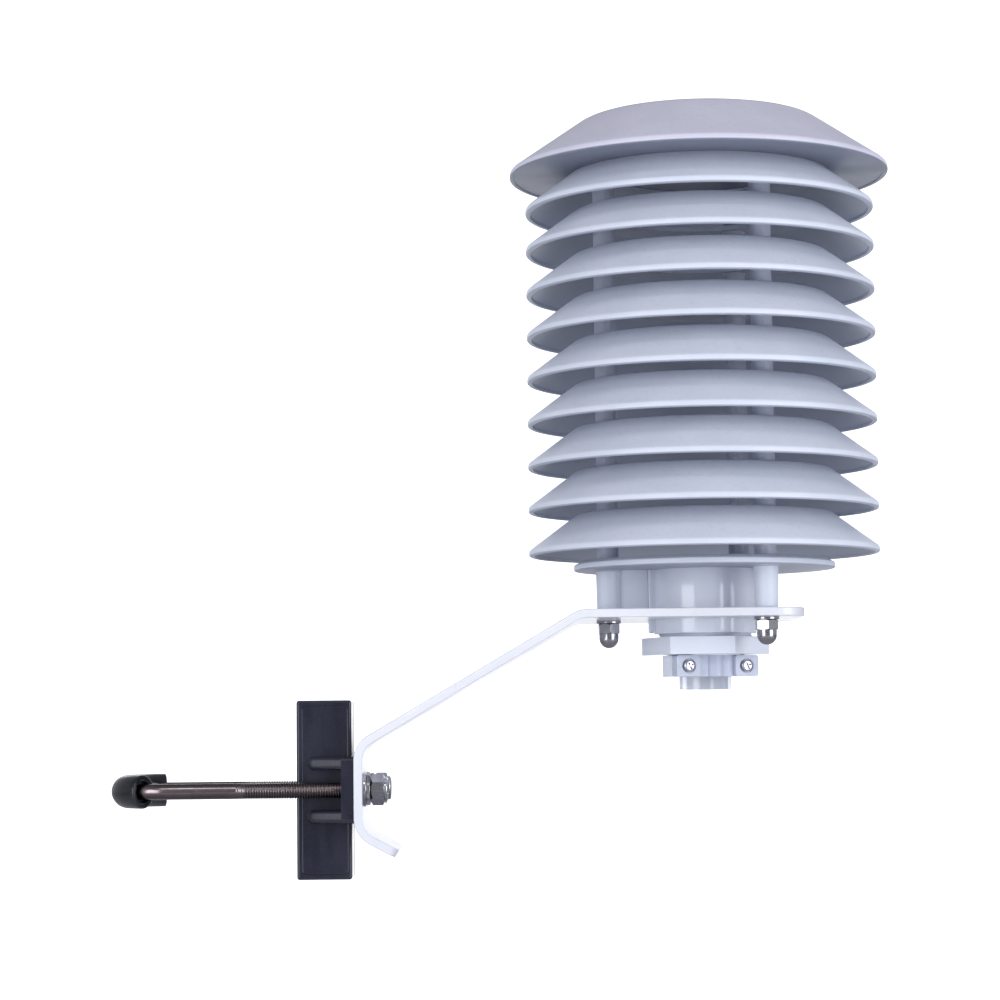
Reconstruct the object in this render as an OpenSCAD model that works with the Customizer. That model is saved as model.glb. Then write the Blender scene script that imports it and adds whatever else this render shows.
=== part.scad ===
// Multi-plate radiation shield on a bent plate bracket with a mast clamp.
// The origin is on the mast's axis at the height of the U-bolt, +X points to the shield, +Z is up.

/* [Mast clamp] */
// Diameter of the mast that seats in the V when the U-bolt is drawn in
mast_d = 30; // [25:0.5:32]
// Distance between the axes of the U-bolt's legs
leg_pitch = 40; // [38:0.5:42]
// Thread diameter of the U-bolt
leg_d = 8; // [6:0.5:8]
// Shank diameter of the U-bolt outside its thread
shank_d = 7.6; // [5.5:0.1:7.8]
// Distance from the mast's axis back to the centre of the U-bolt's bend
bend_back = 53; // [45:1:65]
// Distance from the mast's axis forward to the ends of the legs
leg_end = 53; // [51:0.5:70]
// How far the U-bolt can be drawn in
clamp_travel = 50; // [30:1:50]
// Outside diameter of the rubber sleeve on the bend
sleeve_d = 16.2; // [12:0.2:20]
// Bore at the open ends of the sleeve
sleeve_mouth_d = 11; // [9:0.5:12]

/* [V-block] */
// Height of the V-block along the mast
block_h = 86.4; // [60:0.2:110]
// Width of the V-block's body
block_w = 30; // [28:0.5:31]
// Distance from the mast's axis to the V-block's open face
block_face = 10.2; // [8:0.1:12]
// Included angle of the V, in degrees
vee_angle = 120; // [110:1:130]
// Rounding of the V-block's long edges
block_round = 1.5; // [0.5:0.1:2.5]
// Depth of the sunk panel on each side of the block
panel_depth = 0.7; // [0.3:0.1:1.2]
// How far each ear reaches past the axis of its leg
ear_margin = 7; // [6:0.5:10]
// Height of the ears
ear_h = 32; // [26:1:40]
// Thickness of the ears
ear_t = 6.2; // [4:0.2:8]
// How far the ears stand behind the body, against the bracket
ear_proud = 1.7; // [0.5:0.1:3]
// Height of each gusset
gusset_h = 6.4; // [4:0.2:7]
// Reach of each gusset in front of the ear
gusset_len = 17; // [12:0.5:20]

/* [Bracket] */
// Thickness of the bent plate
sheet_t = 4.2; // [3:0.1:5]
// Outside radius of each bend
bend_r = 14; // [6:0.5:18]
// Distance from the mast's axis to the shield's axis
reach = 210; // [190:1:250]
// Height of the pad's top face above the U-bolt
rise = 85; // [75:0.5:100]
// Height of the arm's lower bend above the U-bolt
elbow_z = 22.2; // [20:0.2:30]
// Width of the pad under the shield
pad_w = 98; // [98:1:120]
// Distance from the shield's axis to the free end of the pad
pad_end = 45; // [42:1:60]
// Distance from the shield's axis back to the bend between the pad and the arm
pad_back = 62.8; // [58:0.1:80]
// Corner radius of the pad
pad_corner = 14; // [6:1:20]
// How far the bracket's foot reaches past the ears on each side
foot_margin = 4; // [2:0.5:12]
// Distance from the U-bolt down to the lower bend
foot_drop = 21.9; // [20:0.1:30]
// Length of the kicked-out tail
tail_len = 22; // [12:0.5:30]
// Slope of the tail below horizontal, in degrees
tail_slope = 28; // [20:1:40]

/* [Shield] */
// Outside diameter of each louvre
louvre_d = 172; // [160:1:190]
// Height of a louvre from its rim to its flat top
louvre_h = 20.2; // [18:0.1:24]
// Slope of a louvre's flank, in degrees
louvre_slope = 36.5; // [32:0.5:40]
// Wall thickness of the louvres and the cap
wall = 2.6; // [2:0.1:3.2]
// Height of the upright lip round each rim
lip_h = 2.8; // [1.5:0.1:4]
// How far each louvre's hole stays inside its posts
bore_margin = 3.25; // [2:0.25:10]
// Spacing of the louvres
pitch = 21.4; // [20:0.1:26]
// Spacing between the two top louvres
top_pitch = 19.7; // [18:0.1:26]
// Spacing between the top louvre and the cap
cap_pitch = 18.3; // [17:0.1:26]
// How far the cap's rim stands out past the louvres
cap_overhang = 7.6; // [2:0.2:12]
// Height of the cap from its rim to its crown
cap_h = 30.4; // [27:0.1:32]
// Slope of the cap's flank, in degrees
cap_slope = 34.5; // [30:0.5:38]
// How much the crown rises from the shoulder to the centre
crown_rise = 2.4; // [1:0.1:4]
// Diameter of the base plate
base_d = 128; // [118:1:140]
// Thickness of the base plate
base_t = 4.3; // [3:0.1:6]
// Gap between the base plate's top and the lowest rim
base_gap = 3; // [1:0.1:8]
// Height of the moulded standoffs under the base plate
standoff_h = 20.3; // [16:0.1:30]
// Diameter of the standoffs at the base plate
standoff_d = 12; // [10:0.1:13]
// How much the standoffs taper to their feet
standoff_draft = 0.8; // [0:0.1:1.5]
// Diameter of the moulded posts between the plates
post_d = 10.5; // [10:0.1:13]

/* [Tie rods] */
// Diameter of the circle that the three tie rods stand on
rod_circle = 95; // [94:0.5:97]
// Thread diameter of the tie rods
rod_d = 6; // [5:0.5:6]
// Turn of the rod pattern from the arm's line, in degrees
rod_turn = 4; // [0:1:8]
// Clearance hole round each tie rod
rod_hole_d = 6.6; // [6.4:0.1:7]

/* [Sensor gland] */
// Outside diameter of the sensor collar
collar_d = 50.4; // [46:0.2:52]
// How far the collar hangs below the bracket
collar_drop = 7.1; // [6:0.1:12]
// How far the key rib stands out of the collar
key_proud = 2.8; // [1.5:0.1:4]
// Width of the key rib
key_w = 6; // [4:0.5:8]
// How far the key rib stops above the collar's lower end
key_rise = 0.6; // [0.4:0.1:2]
// Diameter of the gland thread
gland_thread_d = 46; // [44:0.5:46]
// Size of the gland nut across its flats
gland_flats = 54; // [53:0.5:58]
// Height of the gland nut
gland_h = 8.6; // [8:0.1:12]
// Bore of the gland and of the trough under it
port_d = 22; // [18:0.5:22]
// Bore of the rubber seal that grips the probe's stem
stem_d = 16; // [10:0.5:17]
// How far the gland opens
gland_travel = 2.4; // [1:0.1:2.6]
// Turn of the gland nut, in degrees
gland_turn = -7; // [-30:1:30]
// Turn of the cable clamp, in degrees
clamp_turn = 20; // [-30:1:30]

/* [Cable clamp] */
// Width of the cable clamp across its ears
saddle_w = 43.4; // [42:0.2:48]
// Height of the clamp's ears
saddle_h = 10.3; // [8:0.1:12]
// Distance from the shield's axis to the front of the saddle
saddle_front = 14.5; // [14:0.1:17]
// Thickness of the saddle's ears
saddle_t = 5.5; // [4.5:0.1:6]
// Distance between the two saddle screws
screw_pitch = 30.6; // [30:0.2:33]
// Thread diameter of the saddle screws
screw_d = 3; // [2.5:0.5:3]
// Head diameter of the saddle screws
screw_head_d = 5.8; // [5:0.1:6]
// Wall of the half-pipe trough
trough_wall = 2; // [1.5:0.1:2.5]
// How far the trough runs below the ears
trough_tail = 6.2; // [3:0.1:12]
// How far the saddle can be backed off
saddle_travel = 4; // [2:0.5:5]

/* [Hidden] */
$fn = 96;

// Fits
thread_fit = 0.05;      // radial gap between a thread and its nut
free_gap = 0.35;        // gap between pieces that move past each other
leg_hole_d = leg_d + 1; // hole in the bracket and the ears round each leg

// Sizes that follow their neighbours
ear_span = leg_pitch + 2 * ear_margin;
foot_w = ear_span + 2 * foot_margin;
cap_d = louvre_d + 2 * cap_overhang;
louvre_bore = rod_circle - post_d - 2 * bore_margin;
key_reach = collar_d / 2 + key_proud;

// Heights of the shield's pieces
pad_under = rise - sheet_t;
base_under = rise + standoff_h;
base_top = base_under + base_t;
louvre_count = 9;
function rim_z(number) =
    number == 1 ? rim_z(2) + top_pitch : base_top + base_gap + (louvre_count - number) * pitch;
cap_z = rim_z(1) + cap_pitch;
function top_below(number) =
    number == louvre_count ? base_top : rim_z(number + 1) + louvre_h;

// Fasteners
rod_nut_flats = 10;
rod_nut_hex_h = 5;
rod_nut_h = 12;
rod_dome_d = 9.5;
rod_washer_d = 12;
rod_washer_t = 1.6;
insert_d = 8.4;
insert_h = 12;
clamp_washer_d = 16;
clamp_washer_t = 1.6;
spring_washer_d = 14.8;
spring_washer_t = 2;
spring_washer_split = 1.6;
clamp_nut_flats = 13;
clamp_nut_hex_h = 6.4;
clamp_nut_h = 8;
clamp_collar_d = 11.8;
screw_head_h = 2;
screw_bite = 4.5; // screw thread left in the jaw when the saddle is backed off
screw_len = saddle_t + saddle_travel + screw_bite;
screw_sink = 0.8;

// Places along the clamp
bracket_face = 38.5;
block_back = bracket_face - ear_proud;
washer_x = bracket_face + sheet_t;
spring_washer_x = washer_x + clamp_washer_t;
nut_x = spring_washer_x + spring_washer_t;
thread_spare = 15.8; // thread left behind the nuts when the U-bolt is drawn in
thread_x = nut_x - clamp_travel - thread_spare;

// Gland stack, from the collar's lower end down
collar_end = pad_under - collar_drop;
gland_top = collar_end - 1.6;
gland_under = gland_top - gland_h;
gland_floor = 2;
stub_bite = 1.5; // gland thread left in the nut when the gland is open
stub_end = gland_top - gland_travel - stub_bite;
flange_t = 1.6;
flange_under = gland_under + gland_floor + 0.3;
ring_under = flange_under + flange_t;
ring_t = 2;
seal_d = 32;
seal_pocket_d = 33;
seal_pocket_top = collar_end + 2.3;
port_land = 3;
collar_bore_d = 36;
spigot_d = 44;
gland_opening_d = 38;
flange_d = 45;
jaw_neck_d = gland_opening_d - 2 * free_gap;
ear_top = gland_under - free_gap;
ear_bottom = ear_top - saddle_h;
screw_z = (ear_top + ear_bottom) / 2;
split_y = -(saddle_front - saddle_t);

// Points on an arc that rounds the corner b of the path a-b-c
function unit(v) = v / norm(v);
function corner(a, b, c, r, steps = 6) =
    r == 0 ? [b] :
    let (to_a = unit(a - b), to_c = unit(c - b),
         half = acos(to_a * to_c) / 2,
         centre = b + unit(to_a + to_c) * r / sin(half),
         from = b + to_a * r / tan(half) - centre,
         to = b + to_c * r / tan(half) - centre,
         start = atan2(from.y, from.x),
         turn = ((atan2(to.y, to.x) - start + 540) % 360) - 180)
    [for (k = [0:steps]) centre + r * [cos(start + turn * k / steps), sin(start + turn * k / steps)]];
function rounded(points, radii, steps = 6) =
    let (n = len(points))
    [for (k = [0:n - 1])
        each corner(points[(k + n - 1) % n], points[k], points[(k + 1) % n], radii[k], steps)];

module at_shield() { translate([reach, 0, 0]) children(); }
module rod_place(number) {
    rotate([0, 0, 180 + rod_turn + 120 * (number - 1)]) translate([rod_circle / 2, 0, 0]) children();
}
module at_rods() {
    at_shield() for (number = [1:3]) rod_place(number) children();
}
module along_x(x) { translate([x, 0, 0]) rotate([0, 90, 0]) children(); }
module at_legs(x) {
    for (side = [-1, 1]) translate([0, side * leg_pitch / 2, 0]) along_x(x) children();
}

// Hexagon with both rims of its corners turned off at 30 degrees
module chamfered_hex(flats, h, lower = true, upper = true) {
    corner_r = flats / sqrt(3);
    cut = (corner_r - flats * 0.475) * tan(30);
    intersection() {
        cylinder(r = corner_r, h = h, $fn = 6);
        rotate_extrude()
            polygon([[0, 0], [lower ? flats * 0.475 : corner_r + 1, 0], [corner_r, lower ? cut : 0],
                     [corner_r, upper ? h - cut : h], [upper ? flats * 0.475 : corner_r + 1, h], [0, h]]);
    }
}

// Half section of a hollow plate: upright lip, sloped flank, shoulder and top
module shell_section(radius, height, slope, shoulder_r, bore_r, crown) {
    shoulder = radius - (height - crown - lip_h) / tan(slope);
    inner_shoulder = shoulder - wall * tan(slope / 2);
    inner_lip = lip_h - wall * tan((90 - slope) / 2);
    top_z = height - crown * bore_r / shoulder;
    polygon(rounded(
        [[radius - wall, 0], [radius, 0], [radius, lip_h], [shoulder, height - crown],
         [bore_r, top_z], [bore_r, top_z - wall], [inner_shoulder, height - crown - wall],
         [radius - wall, inner_lip]],
        [0.4, 1, 2.2, shoulder_r, 0, 0, max(shoulder_r - wall, 0.5), 0]));
}

module louvre(number) {
    post_z = top_below(number);
    post_h = rim_z(number) + louvre_h - wall / 2 - post_z;
    color("gainsboro") at_shield() difference() {
        union() {
            translate([0, 0, rim_z(number)])
                rotate_extrude() shell_section(louvre_d / 2, louvre_h, louvre_slope, 5, louvre_bore / 2, 0);
            for (rod = [1:3]) rod_place(rod)
                translate([0, 0, post_z]) cylinder(d = post_d, h = post_h);
        }
        for (rod = [1:3]) rod_place(rod)
            translate([0, 0, post_z - 1]) cylinder(d = rod_hole_d, h = rim_z(number) + louvre_h + 2 - post_z);
    }
}

module cap_plate() {
    fin_t = 1.4;
    fin_d = post_d + 3.5;
    post_z = rim_z(1) + louvre_h;
    shoulder = cap_d / 2 - (cap_h - crown_rise - lip_h) / tan(cap_slope);
    post_top = cap_z + cap_h - crown_rise * rod_circle / 2 / shoulder - wall / 2;
    fin_foot = 2.5;
    color("gainsboro") at_shield() difference() {
        union() {
            translate([0, 0, cap_z])
                rotate_extrude() shell_section(cap_d / 2, cap_h, cap_slope, 16, 0, crown_rise);
            for (rod = [1:3]) rod_place(rod) {
                translate([0, 0, post_z]) cylinder(d = post_d, h = post_top - post_z);
                for (turn = [0, 60, 120]) rotate([0, 0, turn])
                    translate([-fin_d / 2, -fin_t / 2, post_z + fin_foot])
                        cube([fin_d, fin_t, post_top - post_z - fin_foot]);
            }
        }
        for (rod = [1:3]) rod_place(rod) {
            translate([0, 0, post_z - 1]) cylinder(d = insert_d, h = insert_h + 1);
            translate([0, 0, post_z]) cylinder(d = rod_hole_d, h = insert_h + 4);
        }
    }
}

module base_plate() {
    bevel = 1.6;
    web_t = 3;
    web_end = rod_circle / 2 - standoff_d / 2 + 2;
    web_start = key_reach + 0.2;
    color("whitesmoke") at_shield() difference() {
        union() {
            translate([0, 0, base_under]) rotate_extrude()
                polygon([[0, 0], [base_d / 2 - 0.6, 0], [base_d / 2, 0.6], [base_d / 2, base_t - bevel],
                         [base_d / 2 - 2 * bevel, base_t], [0, base_t]]);
            for (rod = [1:3]) rod_place(rod) translate([0, 0, rise])
                cylinder(d1 = standoff_d - standoff_draft, d2 = standoff_d, h = standoff_h + base_t / 2);
            rotate([0, 0, 180 + rod_turn]) translate([web_start, -web_t / 2, rise])
                cube([web_end - web_start, web_t, standoff_h + base_t / 2]);
        }
        for (rod = [1:3]) rod_place(rod)
            translate([0, 0, rise - 1]) cylinder(d = rod_hole_d, h = standoff_h + base_t + 2);
        translate([0, 0, base_under - 1]) cylinder(d = spigot_d + 2 * thread_fit, h = base_t + 2);
    }
}

module sensor_collar() {
    land_top = seal_pocket_top + port_land;
    land_r = port_d / 2 + 1;
    key_root = collar_d / 2 - 1;
    color("white") at_shield() {
        rotate([0, 0, 90]) rotate_extrude() polygon([
            [seal_pocket_d / 2, stub_end], [gland_thread_d / 2, stub_end],
            [gland_thread_d / 2, collar_end], [collar_d / 2, collar_end],
            [collar_d / 2, base_under], [spigot_d / 2, base_under],
            [spigot_d / 2, base_top], [collar_bore_d / 2, base_top],
            [collar_bore_d / 2, land_top], [land_r, land_top],
            [land_r, seal_pocket_top], [seal_pocket_d / 2, seal_pocket_top]
        ]);
        rotate([0, 0, 180 + rod_turn]) translate([key_root, -key_w / 2, collar_end + key_rise])
            cube([key_reach - key_root, key_w, base_under - collar_end - key_rise]);
    }
}

module tie_rod(number) {
    rod_bottom = pad_under - rod_washer_t - rod_nut_h + rod_dome_d / 2 - 0.5;
    rod_top = rim_z(1) + louvre_h + insert_h + 2;
    color("lightsteelblue") at_shield() rod_place(number)
        translate([0, 0, rod_bottom]) cylinder(d = rod_d, h = rod_top - rod_bottom);
}

module rod_inserts() {
    color("darkgoldenrod") at_rods() translate([0, 0, rim_z(1) + louvre_h]) difference() {
        cylinder(d = insert_d, h = insert_h);
        translate([0, 0, -1]) cylinder(d = rod_d + 2 * thread_fit, h = insert_h + 2);
    }
}

module rod_washers() {
    color("silver") at_rods() translate([0, 0, pad_under - rod_washer_t]) difference() {
        cylinder(d = rod_washer_d, h = rod_washer_t);
        translate([0, 0, -1]) cylinder(d = rod_d + 0.4, h = rod_washer_t + 2);
    }
}

module rod_cap_nuts() {
    nut_top = pad_under - rod_washer_t;
    thread_depth = rod_nut_h - rod_dome_d / 2 + 0.8;
    color("silver") at_rods() translate([0, 0, nut_top]) mirror([0, 0, 1]) difference() {
        union() {
            rotate([0, 0, 30]) chamfered_hex(rod_nut_flats, rod_nut_hex_h);
            cylinder(d = rod_dome_d, h = rod_nut_h - rod_dome_d / 2);
            translate([0, 0, rod_nut_h - rod_dome_d / 2]) sphere(d = rod_dome_d);
        }
        translate([0, 0, -1]) cylinder(d = rod_d + 2 * thread_fit, h = thread_depth + 1);
    }
}

// The bent plate's outer face runs from the tail's tip up to the pad's free end
foot_x = bracket_face;
tail_tip = [foot_x + tail_len * cos(tail_slope), -foot_drop - tail_len * sin(tail_slope)];
outer_path = [
    tail_tip, [foot_x, -foot_drop], [foot_x, elbow_z], [reach - pad_back, rise], [reach + pad_end, rise]
];
function normal(from, to) = let (d = unit(to - from)) [-d.y, d.x];
// The same path, a plate's thickness further in
function inward(path, t) = let (last = len(path) - 1) [
    for (k = [0:last])
        let (before = normal(path[max(k - 1, 0)], path[max(k, 1)]),
             after = normal(path[min(k, last - 1)], path[min(k + 1, last)]))
        path[k] - t * (before + after) / (1 + before * after)
];

module bracket_profile() {
    inner_path = inward(outer_path, sheet_t);
    inner_r = bend_r - sheet_t;
    polygon(rounded(
        concat(outer_path, [for (k = [len(inner_path) - 1:-1:0]) inner_path[k]]),
        [0, bend_r, bend_r, bend_r, 0, 0, inner_r, inner_r, inner_r, 0]));
}

module bracket_plan() {
    arm_x = tail_tip.x + 2;
    polygon(rounded(
        [[foot_x - 1, -foot_w / 2], [arm_x, -foot_w / 2], [reach - pad_back, -pad_w / 2],
         [reach + pad_end, -pad_w / 2], [reach + pad_end, pad_w / 2], [reach - pad_back, pad_w / 2],
         [arm_x, foot_w / 2], [foot_x - 1, foot_w / 2]],
        [0, 12, 12, pad_corner, pad_corner, 12, 12, 0], 8));
}

module tail_corner() {
    corner_r = 6;
    translate([0, foot_w / 2 - corner_r, -sheet_t - 1]) difference() {
        translate([-1, 0, 0]) cube([corner_r + 1, corner_r + 1, sheet_t + 2]);
        translate([corner_r, 0, -1]) cylinder(r = corner_r, h = sheet_t + 4);
    }
}

module bracket() {
    color("white") difference() {
        intersection() {
            translate([0, pad_w, 0]) rotate([90, 0, 0]) linear_extrude(2 * pad_w) bracket_profile();
            translate([0, 0, -rise]) linear_extrude(3 * rise) bracket_plan();
        }
        for (side = [0, 1]) mirror([0, side, 0])
            translate([tail_tip.x, 0, tail_tip.y]) rotate([0, tail_slope - 180, 0]) tail_corner();
        at_legs(foot_x - 1) cylinder(d = leg_hole_d, h = sheet_t + 2);
        at_rods() translate([0, 0, pad_under - 1]) cylinder(d = rod_hole_d, h = sheet_t + 2);
        at_shield() translate([0, 0, pad_under - 1]) {
            cylinder(d = collar_d + 2 * free_gap, h = sheet_t + 2);
            rotate([0, 0, 180 + rod_turn]) translate([0, -key_w / 2 - free_gap, 0])
                cube([key_reach + free_gap, key_w + 2 * free_gap, sheet_t + 2]);
        }
    }
}

module v_block() {
    vee_root = mast_d / 2 / sin(vee_angle / 2);
    vee_half = (vee_root - block_face) * tan(vee_angle / 2);
    border = 2.6;
    panel = [block_back - block_face - 2 * border + 1.2, block_h - 2 * border];
    ear_x = bracket_face - ear_t;
    gusset_z = ear_h / 2 - gusset_h / 2;
    nose_x = ear_x - gusset_len;
    color([0.12, 0.12, 0.13]) difference() {
        union() {
            difference() {
                translate([0, 0, -block_h / 2]) linear_extrude(block_h) polygon(rounded(
                    [[block_face, -block_w / 2], [block_back, -block_w / 2],
                     [block_back, block_w / 2], [block_face, block_w / 2],
                     [block_face, vee_half], [vee_root, 0], [block_face, -vee_half]],
                    [block_round, 0.6, 0.6, block_round, 0.4, 1, 0.4]));
                for (side = [0, 1]) mirror([0, side, 0])
                    translate([block_face + border, block_w / 2 - panel_depth, -panel.y / 2])
                        cube([panel.x, panel_depth + 1, panel.y]);
            }
            along_x(ear_x) linear_extrude(ear_t) polygon(rounded(
                [[-ear_h / 2, -ear_span / 2], [ear_h / 2, -ear_span / 2],
                 [ear_h / 2, ear_span / 2], [-ear_h / 2, ear_span / 2]], [2, 2, 2, 2]));
            for (side = [0, 1], level = [-1, 1]) mirror([0, side, 0])
                translate([0, 0, level * gusset_z]) intersection() {
                    translate([0, 0, -gusset_h / 2]) linear_extrude(gusset_h)
                        polygon([[nose_x, block_w / 2 - 2], [nose_x, block_w / 2 + 1.2],
                                 [ear_x + 1, ear_span / 2 - 2.2], [ear_x + 1, block_w / 2 - 2]]);
                    translate([nose_x + gusset_h / 2, ear_span, 0]) rotate([90, 0, 0]) union() {
                        cylinder(d = gusset_h, h = ear_span);
                        translate([0, -gusset_h / 2, 0]) cube([gusset_len, gusset_h, ear_span]);
                    }
                }
        }
        at_legs(ear_x - 1) cylinder(d = leg_hole_d, h = ear_t + 2);
    }
}

module u_bolt() {
    tip = 1;
    thread_len = leg_end - thread_x;
    color("silver") {
        at_legs(thread_x) {
            cylinder(d = leg_d, h = thread_len - tip);
            translate([0, 0, thread_len - tip]) cylinder(d1 = leg_d, d2 = leg_d - 2 * tip, h = tip);
        }
        at_legs(-bend_back) cylinder(d = shank_d, h = thread_x + bend_back);
        translate([-bend_back, 0, 0]) rotate([0, 0, 90]) rotate_extrude(angle = 180)
            translate([leg_pitch / 2, 0]) circle(d = shank_d);
    }
}

module u_bolt_sleeve() {
    far_end = 101.5;
    near_end = 239;
    mouth = 13;
    color([0.1, 0.1, 0.11]) translate([-bend_back, 0, 0]) difference() {
        rotate([0, 0, far_end]) rotate_extrude(angle = near_end - far_end)
            translate([leg_pitch / 2, 0]) circle(d = sleeve_d);
        rotate([0, 0, 90]) rotate_extrude(angle = 180)
            translate([leg_pitch / 2, 0]) circle(d = shank_d);
        for (start = [far_end - 1, near_end - mouth]) rotate([0, 0, start])
            rotate_extrude(angle = mouth + 1) translate([leg_pitch / 2, 0]) circle(d = sleeve_mouth_d);
    }
}

module clamp_washers() {
    color("silver") at_legs(washer_x) difference() {
        cylinder(d = clamp_washer_d, h = clamp_washer_t);
        translate([0, 0, -1]) cylinder(d = leg_d + 2 * free_gap, h = clamp_washer_t + 2);
    }
}

module clamp_spring_washers() {
    color("gray") at_legs(spring_washer_x) difference() {
        cylinder(d = spring_washer_d, h = spring_washer_t);
        translate([0, 0, -1]) cylinder(d = leg_d + 2 * free_gap, h = spring_washer_t + 2);
        rotate([0, 0, 135]) translate([0, -spring_washer_split / 2, -1])
            cube([spring_washer_d, spring_washer_split, spring_washer_t + 2]);
    }
}

module clamp_nut(side) {
    gap = 0.3;
    color("silver") translate([0, side * leg_pitch / 2, 0]) along_x(nut_x + gap) difference() {
        union() {
            chamfered_hex(clamp_nut_flats, clamp_nut_hex_h);
            rotate_extrude() polygon(rounded(
                [[0, 0], [clamp_collar_d / 2, 0], [clamp_collar_d / 2, clamp_nut_h], [0, clamp_nut_h]],
                [0, 0, 1.2, 0]));
        }
        translate([0, 0, -1]) cylinder(d = leg_d + 2 * thread_fit, h = clamp_nut_h + 2);
    }
}

module gland_nut() {
    color("white") at_shield() rotate([0, 0, gland_turn]) translate([0, 0, gland_under]) difference() {
        cylinder(r = gland_flats / sqrt(3), h = gland_h, $fn = 6);
        translate([0, 0, gland_floor])
            cylinder(d = gland_thread_d + 2 * thread_fit, h = gland_h);
        translate([0, 0, -1]) cylinder(d = gland_opening_d, h = gland_h);
    }
}

module gland_seal() {
    seal_h = seal_pocket_top - free_gap - ring_under - ring_t;
    color("dimgray") at_shield() translate([0, 0, ring_under + ring_t]) difference() {
        cylinder(d = seal_d, h = seal_h);
        translate([0, 0, -1]) cylinder(d = stem_d, h = seal_h + 2);
    }
}

module pressure_ring() {
    color("whitesmoke") at_shield() translate([0, 0, ring_under]) difference() {
        cylinder(d = seal_d, h = ring_t);
        translate([0, 0, -1]) cylinder(d = port_d + 0.4, h = ring_t + 2);
    }
}

module at_clamp() { at_shield() rotate([0, 0, clamp_turn]) children(); }

module clamp_jaw() {
    trough_d = port_d + 0.4 + 2 * trough_wall;
    trough_end = ear_bottom - trough_tail;
    post_back = 3;
    color("white") at_clamp() difference() {
        union() {
            translate([0, 0, flange_under]) cylinder(d = flange_d, h = flange_t);
            translate([0, 0, ear_top]) cylinder(d = jaw_neck_d, h = flange_under - ear_top + flange_t / 2);
            translate([0, 0, trough_end]) difference() {
                cylinder(d = trough_d, h = flange_under - trough_end);
                translate([-trough_d, -trough_d - 1.5, -1]) cube([2 * trough_d, trough_d, flange_under + 2]);
            }
            translate([-saddle_w / 2, split_y + free_gap, ear_bottom])
                cube([saddle_w, post_back - split_y - free_gap, saddle_h]);
        }
        translate([0, 0, trough_end - 1]) cylinder(d = port_d + 0.4, h = ring_under - trough_end + 2);
        translate([-port_d / 2 - 0.2, split_y, ear_bottom - 1])
            cube([port_d + 0.4, -split_y, saddle_h + 1]);
        for (side = [-1, 1]) translate([side * screw_pitch / 2, split_y, screw_z]) rotate([-90, 0, 0])
            cylinder(d = screw_d + 2 * thread_fit, h = post_back - split_y - 1);
    }
}

module cable_saddle() {
    ear_w = 12.2;
    bar_sink = 2.4;
    ridge_d = 9;
    recess_d = screw_head_d + 1.4;
    color("white") at_clamp() difference() {
        union() {
            for (side = [0, 1]) mirror([side, 0, 0])
                translate([0, split_y, screw_z]) rotate([90, 0, 0]) linear_extrude(saddle_t)
                    polygon(rounded(
                        [[saddle_w / 2 - ear_w, -saddle_h / 2], [saddle_w / 2, -saddle_h / 2],
                         [saddle_w / 2, saddle_h / 2], [saddle_w / 2 - ear_w, saddle_h / 2]],
                        [0.6, 1.4, 1.4, 0.6]));
            translate([-saddle_w / 2 + ear_w - 1, split_y - saddle_t + bar_sink, ear_bottom])
                cube([saddle_w - 2 * ear_w + 2, saddle_t - bar_sink, saddle_h]);
            translate([0, -saddle_front + ridge_d / 2 - 0.3, ear_bottom]) cylinder(d = ridge_d, h = saddle_h);
        }
        translate([-saddle_w, split_y, ear_bottom - 1]) cube([2 * saddle_w, saddle_front, saddle_h + 2]);
        for (side = [-1, 1]) translate([side * screw_pitch / 2, -saddle_front - 1, screw_z])
            rotate([-90, 0, 0]) {
                cylinder(d = recess_d, h = 1 + screw_sink);
                cylinder(d = screw_d + 2 * free_gap, h = saddle_t + 3);
            }
    }
}

module saddle_screw(side) {
    slot_w = 0.9;
    slot_len = 3.6;
    head_under = -saddle_front + screw_sink - 0.3;
    color("silver") at_clamp() translate([side * screw_pitch / 2, head_under, screw_z]) difference() {
        rotate([90, 0, 0]) {
            rotate_extrude() polygon(rounded(
                [[0, 0], [screw_head_d / 2, 0], [screw_head_d / 2, screw_head_h], [0, screw_head_h]],
                [0, 0, 1.1, 0]));
            translate([0, 0, -screw_len]) cylinder(d = screw_d, h = screw_len + 0.5);
        }
        for (turn = [25, 115]) rotate([0, turn, 0])
            translate([-slot_len / 2, -screw_head_h - 1, -slot_w / 2]) cube([slot_len, 2.2, slot_w]);
    }
}

cap_plate();
for (number = [1:louvre_count])
    louvre(number);
base_plate();
sensor_collar();
for (number = [1:3])
    tie_rod(number);
rod_inserts();
rod_washers();
rod_cap_nuts();
bracket();
v_block();
u_bolt();
u_bolt_sleeve();
clamp_washers();
clamp_spring_washers();
clamp_nut(-1);  // clamp_nut_near
clamp_nut(1);  // clamp_nut_far
gland_nut();
gland_seal();
pressure_ring();
clamp_jaw();
cable_saddle();
saddle_screw(-1);  // saddle_screw_left
saddle_screw(1);  // saddle_screw_right
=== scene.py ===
import math

import bmesh
import bpy
from mathutils import Matrix, Vector


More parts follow.
